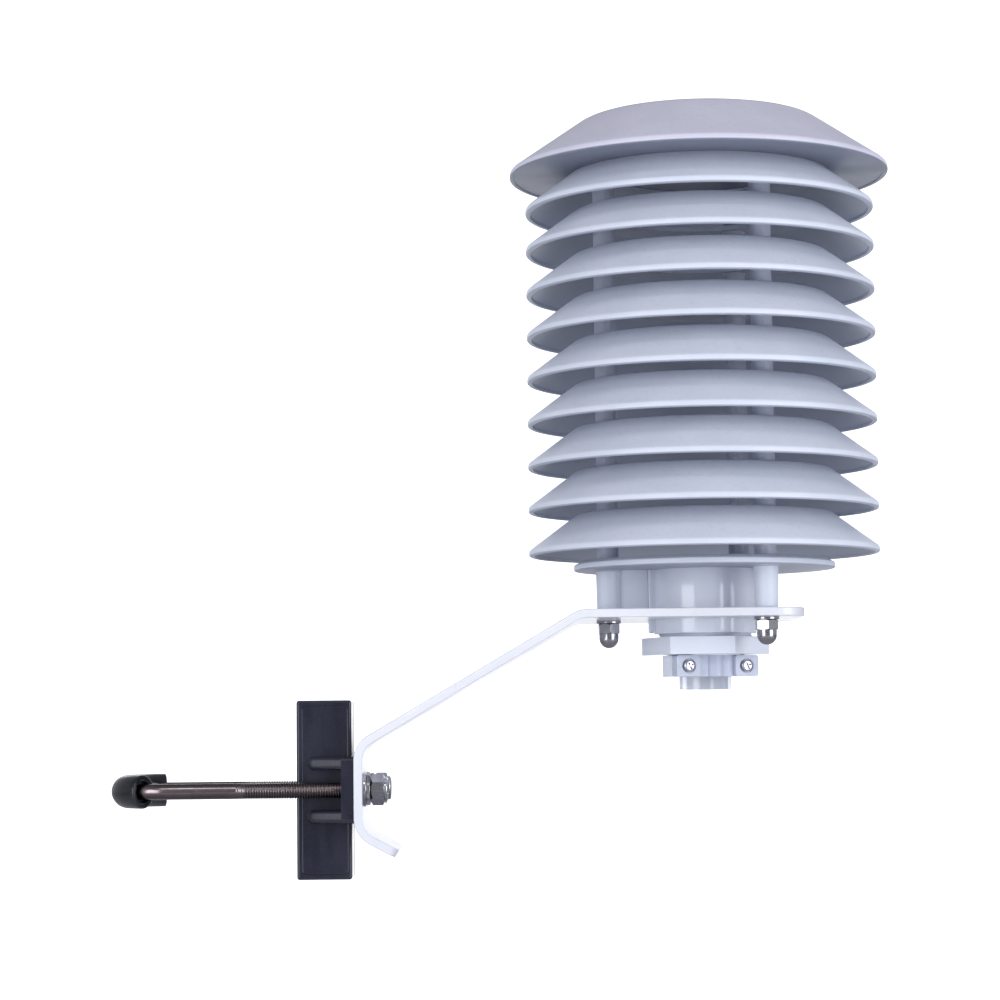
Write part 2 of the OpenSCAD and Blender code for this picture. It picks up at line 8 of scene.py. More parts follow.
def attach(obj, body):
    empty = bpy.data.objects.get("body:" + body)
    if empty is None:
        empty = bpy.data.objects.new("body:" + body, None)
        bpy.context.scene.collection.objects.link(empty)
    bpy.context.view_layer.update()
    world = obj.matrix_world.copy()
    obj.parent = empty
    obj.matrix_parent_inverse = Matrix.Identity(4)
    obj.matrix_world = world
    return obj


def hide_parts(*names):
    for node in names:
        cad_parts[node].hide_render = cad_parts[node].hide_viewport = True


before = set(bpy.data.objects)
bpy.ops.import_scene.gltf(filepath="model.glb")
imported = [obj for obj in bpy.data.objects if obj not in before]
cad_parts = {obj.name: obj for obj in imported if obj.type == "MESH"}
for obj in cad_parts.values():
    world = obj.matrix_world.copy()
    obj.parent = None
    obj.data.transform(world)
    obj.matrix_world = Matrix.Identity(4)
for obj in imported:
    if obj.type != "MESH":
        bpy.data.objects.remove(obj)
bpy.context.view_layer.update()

# ---------------------------------------------------------------- camera
# A long lens a little below the shield's middle, tilted up a few degrees,
# so that the undersides of the plates and of the bracket's pad show.
camera = bpy.data.objects.new("camera", bpy.data.cameras.new("camera"))
bpy.context.scene.collection.objects.link(camera)
camera.data.sensor_width = 36
camera.data.lens = 100.8
camera.data.clip_start = 0.05
camera.data.clip_end = 60
tilt = Matrix.Rotation(math.radians(94.46), 4, "X") @ Matrix.Rotation(math.radians(-0.61), 4, "Z")
camera.matrix_world = Matrix.Translation((0.110, -1.375, 0.0336)) @ tilt
bpy.context.scene.camera = camera
bpy.context.scene.view_settings.view_transform = "Standard"

# ---------------------------------------------------------------- studio
# A pale room that is dimmer behind the camera, with a tall soft box on each side
# of it, the right one a little stronger, and a wide low one overhead in front.
world = bpy.data.worlds.new("studio")
bpy.context.scene.world = world
world.use_nodes = True
room = world.node_tree
direction = room.nodes.new("ShaderNodeTexCoord")
split = room.nodes.new("ShaderNodeSeparateXYZ")
room.links.new(direction.outputs["Generated"], split.inputs["Vector"])
front = room.nodes.new("ShaderNodeMapRange")
front.interpolation_type = "SMOOTHSTEP"
front.inputs["From Min"].default_value = -0.9
front.inputs["From Max"].default_value = -0.2
front.inputs["To Min"].default_value = 0.32
front.inputs["To Max"].default_value = 0.52
room.links.new(split.outputs["Y"], front.inputs["Value"])
above = room.nodes.new("ShaderNodeMapRange")
above.interpolation_type = "SMOOTHSTEP"
above.inputs["From Min"].default_value = 0.25
above.inputs["From Max"].default_value = 0.9
above.inputs["To Min"].default_value = 1.0
above.inputs["To Max"].default_value = 0.55
room.links.new(split.outputs["Z"], above.inputs["Value"])
strength = room.nodes.new("ShaderNodeMath")
strength.operation = "MULTIPLY"
room.links.new(front.outputs["Result"], strength.inputs[0])
room.links.new(above.outputs["Result"], strength.inputs[1])
room.nodes["Background"].inputs["Color"].default_value = (0.91, 0.94, 1.0, 1)
room.links.new(strength.outputs["Value"], room.nodes["Background"].inputs["Strength"])


def soft_box(name, place, target, width, height, power, colour):
    """A rectangular lamp at place that faces target."""
    lamp = bpy.data.lights.new(name, "AREA")
    lamp.shape = "RECTANGLE"
    lamp.size = width
    lamp.size_y = height
    lamp.energy = power
    lamp.color = colour
    made = bpy.data.objects.new(name, lamp)
    bpy.context.scene.collection.objects.link(made)
    made.location = place
    aim = Vector(target) - Vector(place)
    made.rotation_euler = aim.to_track_quat("-Z", "Y").to_euler()


soft_box("right_box", (1.45, -1.15, 0.3), (0.2, 0, 0.15), 1.0, 1.2, 15.9, (0.94, 0.96, 1.0))
soft_box("left_box", (-0.95, -1.3, 0.25), (0.15, 0, 0.1), 0.9, 1.2, 12.9, (0.94, 0.96, 1.0))
soft_box("top_strip", (0.1, -0.95, 1.0), (0.1, 0, 0.05), 1.0, 0.22, 2.2, (0.98, 0.96, 1.0))


class Tone:
    """A socket of a finish. Sums and products on it add their Math nodes."""

    def __init__(self, finish, socket):
        self.finish = finish
        self.socket = socket

    def combine(self, operation, first, second):
        return self.finish.node("ShaderNodeMath", {"operation": operation}, {0: first, 1: second})

    def __add__(self, other):
        return self.combine("ADD", self, other)

    def __mul__(self, other):
        return self.combine("MULTIPLY", self, other)

    __radd__ = __add__
    __rmul__ = __mul__


class Finish:
    """A procedural material: one Principled shader and the nodes that feed it."""

    def __init__(self, name, uniform):
        self.material = bpy.data.materials.new(name)
        self.material.use_nodes = True
        self.tree = self.material.node_tree
        self.shader = self.tree.nodes["Principled BSDF"]
        for socket, value in uniform.items():
            self.shader.inputs[socket].default_value = value

    def node(self, kind, settings, inputs, output=0):
        """Adds a node, sets it up, then feeds its sockets."""
        made = self.tree.nodes.new(kind)
        for name, value in settings.items():
            setattr(made, name, value)
        for key, value in inputs.items():
            self.feed(made.inputs[key], value)
        return Tone(self, made.outputs[output])

    def feed(self, socket, value):
        if isinstance(value, Tone):
            self.tree.links.new(value.socket, socket)
        else:
            socket.default_value = value

    def grain(self, size, detail=2.0, stretch=(1, 1, 1)):
        """Noise with features about size millimetres across, longer where stretch is small."""
        place = self.node("ShaderNodeTexCoord", {}, {}, "Object")
        scale = [1000 * share / size for share in stretch]
        spot = self.node("ShaderNodeMapping", {}, {"Vector": place, "Scale": scale})
        return self.node("ShaderNodeTexNoise", {}, {"Vector": spot, "Scale": 1.0, "Detail": detail})

    def between(self, value, low, high):
        """Zero below low, one above high, and smooth between them."""
        return self.node(
            "ShaderNodeMapRange",
            {"interpolation_type": "SMOOTHSTEP"},
            {"Value": value, "From Min": low, "From Max": high},
        )

    def facing(self, axis):
        """How far the surface faces along an axis of the object, from -1 to 1."""
        normal = self.node("ShaderNodeTexCoord", {}, {}, "Normal")
        return self.node("ShaderNodeSeparateXYZ", {}, {"Vector": normal}, axis)

    def blend(self, share, first, second):
        """The first colour where share is 0, the second where it is 1."""
        return self.node("ShaderNodeMix", {"data_type": "RGBA"}, {0: share, 6: first, 7: second}, 2)

    def colour(self, value):
        self.feed(self.shader.inputs["Base Color"], value)

    def roughness(self, value):
        self.feed(self.shader.inputs["Roughness"], value)

    def relief(self, height, depth):
        """Bump of a depth in millimetres."""
        made = self.node("ShaderNodeBump", {}, {"Height": height, "Distance": depth / 1000})
        self.feed(self.shader.inputs["Normal"], made)


def paint(red, green, blue):
    """A display colour from 0 to 255, as the linear colour that shaders take."""
    linear = []
    for part in (red, green, blue):
        share = part / 255
        linear.append(share / 12.92 if share <= 0.04045 else ((share + 0.055) / 1.055) ** 2.4)
    return (*linear, 1)


def board(name, corners, finish):
    """A flat sheet of the studio, which isn't part of the object."""
    data = bpy.data.meshes.new(name)
    data.from_pydata(corners, [], [(0, 1, 2, 3)])
    data.materials.append(finish.material)
    made = bpy.data.objects.new(name, data)
    bpy.context.scene.collection.objects.link(made)


# Floor: a wide pale sheet well below the object, which hangs from its mast clamp.
# Behind stands a lit white wall, wide enough to fill the view.
floor_z = -0.32
floor_finish = Finish("floor_sheet", {"Roughness": 0.9})
mottle = floor_finish.between(floor_finish.grain(160), 0.3, 0.7)
floor_finish.colour(floor_finish.blend(mottle, paint(240, 240, 242), paint(236, 237, 240)))
board("floor", [(-6, -6, floor_z), (6, -6, floor_z), (6, 6, floor_z), (-6, 6, floor_z)], floor_finish)
glow = {"Emission Color": (1, 1, 1, 1), "Emission Strength": 0.95}
wall_finish = Finish("lit_wall", {"Roughness": 0.9, **glow})
wash = wall_finish.between(wall_finish.grain(400), 0.3, 0.7)
wall_finish.colour(wall_finish.blend(wash, paint(250, 250, 251), paint(247, 248, 250)))
wall_y = 2.1
board(
    "white_wall",
    [(-0.8, wall_y, floor_z), (1.0, wall_y, floor_z), (1.0, wall_y, 1.02), (-0.8, wall_y, 1.02)],
    wall_finish,
)

# ---------------------------------------------------------------- bracket
# The backbone: steel sheet bent to a foot, a sloping arm and a pad, with a short
# turned-back tail, then powder coated white. Everything else bolts to it.
# All sizes in this file are millimetres in the part's own frame.


def rounded(points, radii, steps=8):
    """An outline with each corner rounded to its radius."""
    path = []
    for number, (point, radius) in enumerate(zip(points, radii)):
        corner = Vector(point)
        if radius == 0:
            path.append(corner)
            continue
        back = (Vector(points[number - 1]) - corner).normalized()
        ahead = (Vector(points[(number + 1) % len(points)]) - corner).normalized()
        half = back.angle(ahead) / 2
        centre = corner + (back + ahead).normalized() * radius / math.sin(half)
        first = corner + back * radius / math.tan(half) - centre
        turn = math.pi - 2 * half
        if back.cross(ahead) > 0:
            turn = -turn
        for step in range(steps + 1):
            path.append(centre + Matrix.Rotation(turn * step / steps, 2) @ first)
    return path


def loft(solid, rings, place=Matrix(), looped=False):
    """Skins a run of rings of points, and closes both ends or joins them to each other."""
    rows = [[solid.verts.new(place @ Vector(point)) for point in points] for points in rings]
    pairs = list(zip(rows, rows[1:]))
    if looped:
        pairs.append((rows[-1], rows[0]))
    else:
        solid.faces.new(reversed(rows[0]))
        solid.faces.new(rows[-1])
    for lower, upper in pairs:
        for side in range(len(lower)):
            after = (side + 1) % len(lower)
            solid.faces.new((lower[side], lower[after], upper[after], upper[side]))


def circle(radius, height, steps=96):
    """A ring round the Z axis, whose radius may be a function of the angle."""
    points = []
    for step in range(steps):
        angle = math.tau * step / steps
        reach = radius(angle) if callable(radius) else radius
        points.append(Vector((reach * math.cos(angle), reach * math.sin(angle), height)))
    return points


def closed_up(solid):
    """Merges the points that coincide and turns every face outward."""
    bmesh.ops.remove_doubles(solid, verts=solid.verts, dist=1e-4)
    bmesh.ops.recalc_face_normals(solid, faces=solid.faces)


def combined(base, tool, operation):
    """Joins one solid to another, or cuts it away, and returns the result."""
    pair = []
    for solid in (base, tool):
        closed_up(solid)
        data = bpy.data.meshes.new("blank")
        solid.to_mesh(data)
        solid.free()
        made = bpy.data.objects.new("blank", data)
        bpy.context.scene.collection.objects.link(made)
        pair.append(made)
    change = pair[0].modifiers.new("change", "BOOLEAN")
    change.operation = operation
    change.solver = "EXACT"
    change.object = pair[1]
    result = bmesh.new()
    result.from_object(pair[0], bpy.context.evaluated_depsgraph_get())
    for made in pair:
        bpy.data.meshes.remove(made.data)
    return result


def piece(name, solid, body, finish, nodes, edge=0.0, crease=35):
    """Makes a piece of a solid. An edge size rounds its sharp edges, in millimetres."""
    closed_up(solid)
    bmesh.ops.scale(solid, vec=(0.001, 0.001, 0.001), verts=solid.verts)
    data = bpy.data.meshes.new(name)
    solid.to_mesh(data)
    solid.free()
    data.shade_smooth()
    data.materials.append(finish.material)
    made = bpy.data.objects.new(name, data)
    bpy.context.scene.collection.objects.link(made)
    if edge:
        rim = made.modifiers.new("rounded_edges", "BEVEL")
        rim.width = edge / 1000
        rim.segments = 3
        rim.limit_method = "ANGLE"
        rim.angle_limit = math.radians(crease)
        rim.use_clamp_overlap = True
        flat = made.modifiers.new("even_shading", "WEIGHTED_NORMAL")
        flat.keep_sharp = True
    else:
        data.set_sharp_from_angle(angle=math.radians(crease))
    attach(made, body)
    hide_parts(*nodes)
    return made


def plug(diameter, low, high, place=Matrix(), steps=64):
    """A plain round bar, used to make or cut a solid."""
    solid = bmesh.new()
    loft(solid, [circle(diameter / 2, low, steps), circle(diameter / 2, high, steps)], place)
    return solid


def block(low, high, place=Matrix()):
    """A square bar between two corners, used to make or cut a solid."""
    solid = bmesh.new()
    outline = [(low[0], low[1]), (high[0], low[1]), (high[0], high[1]), (low[0], high[1])]
    loft(solid, [[(x, y, z) for x, y in outline] for z in (low[2], high[2])], place)
    return solid


def gathered(solids):
    """Several solids that stand clear of each other, as one."""
    whole = bmesh.new()
    for solid in solids:
        data = bpy.data.meshes.new("blank")
        solid.to_mesh(data)
        solid.free()
        whole.from_mesh(data)
        bpy.data.meshes.remove(data)
    return whole


sheet = 4.2
foot_x = 38.5
foot_low, foot_high = -21.9, 22.2
pad_start, pad_end = 147.2, 255
pad_top = 85
pad_under = pad_top - sheet
shield_x = 210
bend = 14
tail_length = 22
tail_corner = 6
pad_corner = 14
tail_way = Vector((math.cos(math.radians(28)), -math.sin(math.radians(28))))
face_path = [
    Vector((foot_x, foot_low)) + tail_length * tail_way,
    (foot_x, foot_low),
    (foot_x, foot_high),
    (pad_start, pad_top),
    (pad_end, pad_top),
]


def set_in(path, depth):
    """The same path, a depth further to its right."""
    moved = []
    for number, point in enumerate(path):
        runs = []
        for start, end in ((number - 1, number), (number, number + 1)):
            if start >= 0 and end < len(path):
                run = (Vector(path[end]) - Vector(path[start])).normalized()
                runs.append(Vector((run.y, -run.x)))
        shift = (runs[0] + runs[-1]) / (1 + runs[0].dot(runs[-1]))
        moved.append(Vector(point) + depth * shift)
    return moved


face_bends = rounded(face_path, [0, bend, bend, bend, 0])
back_bends = rounded(set_in(face_path, sheet), [0] + [bend - sheet] * 3 + [0])
stations = []
for number in range(len(face_bends) - 1):
    face_run = face_bends[number + 1] - face_bends[number]
    pieces_in_run = max(1, round(face_run.length / 1.5)) if face_run.length > 3 else 1
    shares = [step / pieces_in_run for step in range(pieces_in_run)]
    if number == 0:
        near_tip = [0.27 * (1 - math.cos(math.radians(turn))) for turn in range(0, 91, 9)]
        shares = near_tip + shares[6:]
    if number == len(face_bends) - 2:
        curl = pad_corner / face_run.length
        shares = [share for share in shares if share < 1 - curl]
        shares += [1 - curl * (1 - math.sin(math.radians(turn))) for turn in range(0, 91, 6)]
    for share in shares:
        stations.append(
            (
                face_bends[number].lerp(face_bends[number + 1], share),
                back_bends[number].lerp(back_bends[number + 1], share),
            )
        )
foot_half, pad_half = 31, 49
plan = rounded(
    [(30, 0), (30, foot_half), (59.9, foot_half), (pad_start, pad_half), (pad_end, pad_half), (pad_end, 0)],
    [0, 0, 12, 12, 0, 0],
)[1:-1]


def half_width(x, along):
    """Half the sheet's width, at a place x and a distance along from the tail's tip."""
    for start, end in zip(plan, plan[1:]):
        if start.x <= x <= end.x:
            wide = start.y + (end.y - start.y) * (x - start.x) / max(end.x - start.x, 1e-9)
    for radius, into in ((tail_corner, tail_corner - along), (pad_corner, x - (pad_end - pad_corner))):
        if into > 0:
            wide += math.sqrt(max(radius**2 - into**2, 0)) - radius
    return wide


bracket = bmesh.new()
rings = []
travelled = 0
for number, (face, back) in enumerate(stations):
    if number:
        travelled += (face - stations[number - 1][0]).length
    wide = half_width(min(face.x, pad_end), travelled)
    section = rounded([(0, -wide), (sheet, -wide), (sheet, wide), (0, wide)], [0.7] * 4, 3)
    across = (back - face) / sheet
    rings.append([(face.x + across.x * u, y, face.y + across.y * u) for u, y in section])
loft(bracket, rings)

leg_y = 20
rod_ring = 47.5
rod_angles = [math.radians(turn) for turn in (184, 304, 64)]
at_shield = Matrix.Translation((shield_x, 0, 0))
at_key = at_shield @ Matrix.Rotation(rod_angles[0], 4, "Z")
rod_places = []
for turn in rod_angles:
    rod_places.append(at_shield @ Matrix.Rotation(turn, 4, "Z") @ Matrix.Translation((rod_ring, 0, 0)))


def along_x(x, y=0.0):
    """A place on an axis that runs along X."""
    return Matrix.Translation((x, y, 0)) @ Matrix.Rotation(math.radians(90), 4, "Y")


leg_hole = 9
rod_hole = 6.6
collar_hole = 51.1
slot_reach, slot_half = 28.35, 3.35
cut_low, cut_high = pad_under - 2, pad_top + 2
holes = [plug(leg_hole, foot_x - 2, foot_x + 8, along_x(0, side * leg_y)) for side in (-1, 1)]
holes += [plug(rod_hole, cut_low, cut_high, place) for place in rod_places]
bracket = combined(bracket, gathered(holes), "DIFFERENCE")
keyed = combined(
    plug(collar_hole, cut_low, cut_high, at_shield, 128),
    block((0, -slot_half, cut_low), (slot_reach, slot_half, cut_high), at_key),
    "UNION",
)
bracket = combined(bracket, keyed, "DIFFERENCE")

coating = Finish("powder_coat", {"Coat Weight": 0.35, "Coat Roughness": 0.12, "IOR": 1.5})
cloudy = coating.between(coating.grain(38, 3), 0.3, 0.7)
dusty = coating.between(coating.grain(5, 4), 0.58, 0.78) * coating.between(coating.facing("Z"), 0.5, 1.0)
# Painted light: the sheet's faces that look toward the front soft boxes are painted a lighter tone than the
# rest of the coat.
lit_front_share = coating.between(coating.facing("Y") * -1, 0.4, 0.9)
face_tone = coating.blend(cloudy, paint(208, 209, 219), paint(213, 214, 223))
painted_highlight_tone = coating.blend(cloudy, paint(229, 230, 238), paint(233, 234, 241))
powder = coating.blend(lit_front_share, face_tone, painted_highlight_tone)
coating.colour(coating.blend(dusty * 0.5, powder, paint(206, 207, 215)))
coating.roughness(0.26 + 0.1 * cloudy)
coating.relief(coating.grain(2.2, 1), 0.008)
piece("bracket_sheet", bracket, "shield_frame", coating, ["bracket"], 0.5, 45)

# ---------------------------------------------------------------- V-block
# Glass-filled nylon, moulded: a V that grips the mast, two ears that the legs pass
# through, four round-nosed gussets and a sunk panel on each side.
vee_front, vee_back, vee_bottom = 10.2, 36.8, 17.32
vee_half, vee_mouth, vee_top = 15, 12.336, 43.2
block_outline = [
    (vee_front, -vee_half),
    (vee_back, -vee_half),
    (vee_back, vee_half),
    (vee_front, vee_half),
    (vee_front, vee_mouth),
    (vee_bottom, 0),
    (vee_front, -vee_mouth),
]
vee = bmesh.new()
loft(vee, [[(x, y, z) for x, y in block_outline] for z in (-vee_top, vee_top)])
closed_up(vee)
bmesh.ops.bevel(vee, geom=vee.edges[:], offset=1.25, segments=4, profile=0.5, affect="EDGES")
panel_front, panel_back, panel_top = 12.6, 35.4, 40.6
panels = []
for side in (-1, 1):
    panel = bmesh.new()
    rings = []
    for depth, inset in ((2, 0), (0, 0), (-0.35, 0.1), (-0.6, 0.35), (-0.7, 0.7)):
        front, back, top = panel_front + inset, panel_back - inset, panel_top - inset
        corners = [(front, -top), (back, -top), (back, top), (front, top)]
        rings.append([(x, side * (vee_half + depth), z) for x, z in rounded(corners, [2.2 - inset] * 4, 5)])
    loft(panel, rings)
    panels.append(panel)
vee = combined(vee, gathered(panels), "DIFFERENCE")
ear_top, ear_half, ear_front = 16, 27, 32.3
ears = bmesh.new()
ear_outline = rounded(
    [(-ear_top, -ear_half), (ear_top, -ear_half), (ear_top, ear_half), (-ear_top, ear_half)], [2.4] * 4, 5
)
loft(ears, [[(x, y, z) for x, y in ear_outline] for z in (ear_front, foot_x)], along_x(0))
vee = combined(vee, ears, "UNION")

gusset_half = 3.2
gusset_tip = 15.3
gusset_end = ear_front + 1
gusset_out, gusset_slope = 16.4, 0.467
gusset_root = 13


def gusset_ring(side, level, inset, sink):
    """The gusset's round-nosed outline, drawn in by inset and sunk below its crest."""
    half = gusset_half - inset
    nose = gusset_tip + gusset_half
    turns = [math.radians(90 + 15 * step) for step in range(13)]
    outline = [(nose + half * math.cos(turn), half * math.sin(turn)) for turn in turns]
    outline += [(gusset_end, -half), (gusset_end, half)]
    ring = []
    for x, z in outline:
        crest_y = gusset_out + (x - gusset_tip) * gusset_slope
        ring.append((x, side * (crest_y - sink), z + level))
    return ring


gussets = []
for side in (-1, 1):
    for level in (gusset_half - ear_top, ear_top - gusset_half):
        gusset = bmesh.new()
        inner = [(x, side * gusset_root, z) for x, y, z in gusset_ring(side, level, 0, 0)]
        crest = []
        for turn in (0, 18, 36, 54, 72, 90):
            inset = 2.3 * (1 - math.cos(math.radians(turn)))
            sink = 1.9 * (1 - math.sin(math.radians(turn)))
            crest.append(gusset_ring(side, level, inset, sink))
        loft(gusset, [inner] + crest)
        gussets.append(gusset)
vee = combined(vee, gathered(gussets), "UNION")
vee = combined(
    vee,
    gathered([plug(leg_hole, 30, 40, along_x(0, side * leg_y), 48) for side in (-1, 1)]),
    "DIFFERENCE",
)

nylon = Finish("glass_filled_nylon", {"IOR": 1.5})
flow = nylon.between(nylon.grain(14, 4, (1, 1, 0.35)), 0.35, 0.68)
speck = nylon.between(nylon.grain(0.7, 2), 0.55, 0.75)
rubbed = nylon.between(nylon.facing("X") * -1, 0.7, 1.0) * nylon.between(nylon.grain(3, 3), 0.45, 0.7)
black = nylon.blend(flow, paint(28, 30, 44), paint(38, 40, 56))
nylon.colour(nylon.blend(0.5 * rubbed + 0.25 * speck, black, paint(60, 62, 76)))
nylon.roughness(0.13 + 0.14 * flow)
nylon.relief(nylon.grain(0.6, 2) + 0.8 * flow, 0.006)
piece("vee_moulding", vee, "shield_frame", nylon, ["v_block"], 0.35, 50)

# ---------------------------------------------------------------- U-bolt
# Stainless bar bent round the mast, with a rolled M8 thread on both legs. The legs
# slide through the ears and the bracket as the nuts draw the bolt in.
thread_pitch = 1.25
thread_start = -19.5
leg_end = 53
bend_x = -53
bar_r = 3.8


def screw_ring(x, side):
    """One ring of a leg, following the thread's helix."""
    fade = min(1.0, max(0.0, (x - thread_start) / 6))
    tip = max(0.0, x - (leg_end - 1.2))

    def reach(angle):
        phase = (x / thread_pitch - side * angle / math.tau) % 1
        depth = min(1.0, max(0.0, abs(2 * phase - 1) * 1.3 - 0.15))
        return bar_r + 0.2 * fade - 0.5 * fade * depth - 0.7 * tip

    return [Vector((x, side * (leg_y - point.y), point.x)) for point in circle(reach, 0, 28)]


leg_stations = [bend_x, -40, -28]
leg_stations += [thread_start - 1.6 + thread_pitch / 8 * step for step in range(475)]
leg_stations = [x for x in leg_stations if x < leg_end] + [leg_end]
bolt_rings = [screw_ring(x, -1) for x in reversed(leg_stations)]
for step in range(1, 60):
    turn = math.radians(-90 - 3 * step)
    ring = []
    for point in circle(bar_r, 0, 28):
        out = leg_y - point.y
        ring.append(Vector((bend_x + out * math.cos(turn), out * math.sin(turn), point.x)))
    bolt_rings.append(ring)
bolt_rings += [screw_ring(x, 1) for x in leg_stations]
bolt = bmesh.new()
loft(bolt, bolt_rings)

drawn = Finish("drawn_stainless", {"Metallic": 1.0})
streak = drawn.between(drawn.grain(0.5, 3, (0.02, 1, 1)), 0.3, 0.7)
haze = drawn.between(drawn.grain(9, 3), 0.35, 0.7)
# Painted reflection: the bar is painted dark brown where it faces down and where it faces up, for the dark
# room it would mirror; the streaks and haze are the metal's own.
painted_shade_below = drawn.between(drawn.facing("Z") * -1, -0.55, 0.75)
painted_shade_above = drawn.between(drawn.facing("Z"), 0.42, 0.86)
bar_tone = drawn.blend(streak, paint(160, 150, 153), paint(142, 131, 132))
hazed = drawn.blend(haze * 0.5, bar_tone, paint(126, 112, 110))
drawn.colour(drawn.blend(painted_shade_below * 0.85 + painted_shade_above * 0.7, hazed, paint(66, 58, 60)))
drawn.roughness(0.15 + 0.08 * streak + 0.06 * haze)
drawn.relief(streak, 0.006)
piece("u_bolt_bar", bolt, "u_bolt_set", drawn, ["u_bolt"], 0, 40)

# ---------------------------------------------------------------- sleeve
# A length of soft black tube pushed on to the bend, so that the bolt grips the mast
# without marking it. Its near end stands open like a bell round the bar.
sleeve_from = 101.5
sleeve_to = 239.0
sleeve_r, end_r = 8.1, 7.3
bell_r, grip_r = 5.5, 3.9
round_turn = 2.3


def bend_ring(turn_degrees, radius, steps=48):
    """A ring of the tube, square to the bend at an angle round its centre."""
    turn = math.radians(turn_degrees)
    spoke = Vector((math.cos(turn), math.sin(turn), 0))
    ring = []
    for point in circle(radius, 0, steps):
        ring.append(Vector((bend_x, 0, 0)) + spoke * (leg_y + point.x) + Vector((0, 0, point.y)))
    return ring


tube = [bend_ring(sleeve_from + 0.1, grip_r), bend_ring(sleeve_from, end_r)]
for turn in (30, 60, 90):
    lean, swell = math.cos(math.radians(turn)), math.sin(math.radians(turn))
    tube.append(bend_ring(sleeve_from + round_turn * (1 - lean), end_r + (sleeve_r - end_r) * swell))
tube += [bend_ring(sleeve_from + round_turn + step * 2.5, sleeve_r) for step in range(1, 53)]
for turn in (0, 30, 60, 90):
    swell, lean = math.cos(math.radians(turn)), math.sin(math.radians(turn))
    tube.append(bend_ring(sleeve_to - round_turn * (1 - lean), end_r + (sleeve_r - end_r) * swell))
tube += [bend_ring(sleeve_to, bell_r + 0.5), bend_ring(sleeve_to - 0.9, bell_r)]
tube += [bend_ring(sleeve_to - 12, bell_r), bend_ring(sleeve_to - 13, grip_r)]
sleeve = bmesh.new()
loft(sleeve, tube, looped=True)

tubing = Finish("soft_black_tube", {"IOR": 1.5})
smear = tubing.between(tubing.grain(7, 4), 0.4, 0.7)
tubing.colour(tubing.blend(smear, paint(20, 21, 28), paint(31, 32, 40)))
tubing.roughness(0.22 + 0.14 * smear)
tubing.relief(tubing.grain(1.1, 3), 0.03)
piece("bend_tube", sleeve, "u_bolt_set", tubing, ["u_bolt_sleeve"])

# ---------------------------------------------------------------- clamp washers
# Under each nut: a plain turned washer against the bracket, then a split spring
# washer whose ends stand slightly apart.
washer_bore, washer_r, washer_t = 4.35, 8, 1.6
washer_x = foot_x + sheet
split_x = washer_x + washer_t
plain_washers = bmesh.new()
for side in (-1, 1):
    outline = [(washer_bore, 0), (washer_r, 0), (washer_r, washer_t), (washer_bore, washer_t)]
    outline = rounded(outline, [0.15, 0.4, 0.4, 0.15], 4)
    loft(plain_washers, [circle(r, z) for r, z in outline], along_x(washer_x, side * leg_y), True)

bright = Finish("bright_steel", {"Metallic": 1.0})
swirl = bright.between(bright.grain(0.35, 2, (0.25, 1, 1)), 0.35, 0.7)
cloud = bright.between(bright.grain(5, 3), 0.35, 0.7)
shaded = bright.between(bright.facing("Z") * -1, -0.75, 0.45)
clean = bright.blend(cloud, paint(232, 231, 236), paint(208, 206, 212))
bright.colour(bright.blend(shaded * 0.7, clean, paint(58, 56, 64)))
bright.roughness(0.13 + 0.07 * swirl + 0.06 * cloud)
bright.relief(swirl, 0.004)
piece("plain_washers", plain_washers, "shield_frame", bright, ["clamp_washers"])

spring_washers = bmesh.new()
for side in (-1, 1):
    coil = []
    gap = math.degrees(0.8 / 5.9)
    for step in range(81):
        turn = math.radians(135 + gap + (360 - 2 * gap) * step / 80)
        outline = rounded([(washer_bore, 0.1), (7.4, 0.1), (7.4, 1.9), (washer_bore, 1.9)], [0.25] * 4, 3)
        coil.append([(r * math.cos(turn), r * math.sin(turn), z) for r, z in outline])
    loft(spring_washers, coil, along_x(split_x, side * leg_y))
sprung = Finish("spring_steel", {"Metallic": 1.0})
scuff = sprung.between(sprung.grain(2.5, 4), 0.35, 0.7)
sprung.colour(sprung.blend(scuff, paint(168, 166, 170), paint(128, 126, 132)))
sprung.roughness(0.26 + 0.12 * scuff)
sprung.relief(sprung.grain(0.3, 2), 0.008)
piece("split_washers", spring_washers, "shield_frame", sprung, ["clamp_spring_washers"])

# ---------------------------------------------------------------- clamp nuts
# Locking nuts, AF 13: a chamfered hexagon with a rolled collar that holds the
# locking ring. Each turns on its own leg.
turned_share = 0.475


def hex_ring(flats, height, chamfer=0):
    """A hexagon's ring; chamfer 1 or -1 drops or lifts its corners as the turned cone does."""
    points = []
    for step in range(96):
        angle = math.tau * step / 96
        reach = flats / 2 / math.cos((angle % math.radians(60)) - math.radians(30))
        drop = max(0.0, reach - flats * turned_share) * math.tan(math.radians(30))
        points.append(Vector((reach * math.cos(angle), reach * math.sin(angle), height - chamfer * drop)))
    return points


def hexagon(flats, low, high):
    """The rings of a hexagon with its corners turned off at both ends."""
    return [
        circle(flats * turned_share, low),
        hex_ring(flats, low, -1),
        hex_ring(flats, high, 1),
        circle(flats * turned_share, high),
    ]


nut_x = 46.6
nut_flats = 13
nut_hex = 6.4
nut_bore, nut_collar = 4.05, 5.9
for name, side, body in (("near", -1, "near_nut"), ("far", 1, "far_nut")):
    nut = bmesh.new()
    rings = [circle(4.6, 0)] + hexagon(nut_flats, 0, nut_hex)
    rings += [circle(nut_collar, nut_hex + 0.05), circle(nut_collar, nut_hex + 0.4)]
    for degrees in range(0, 91, 15):
        turn = math.radians(degrees)
        rings.append(circle(nut_collar - 1 + math.cos(turn), 7 + math.sin(turn)))
    rings += [circle(4.75, 7.85), circle(4.7, 7.5), circle(4.2, 7.45)]
    rings += [circle(nut_bore, 7.2), circle(nut_bore, 0.6)]
    loft(nut, rings, along_x(nut_x, side * leg_y), True)
    piece("locking_nut_" + name, nut, body, bright, ["clamp_nut_" + name])

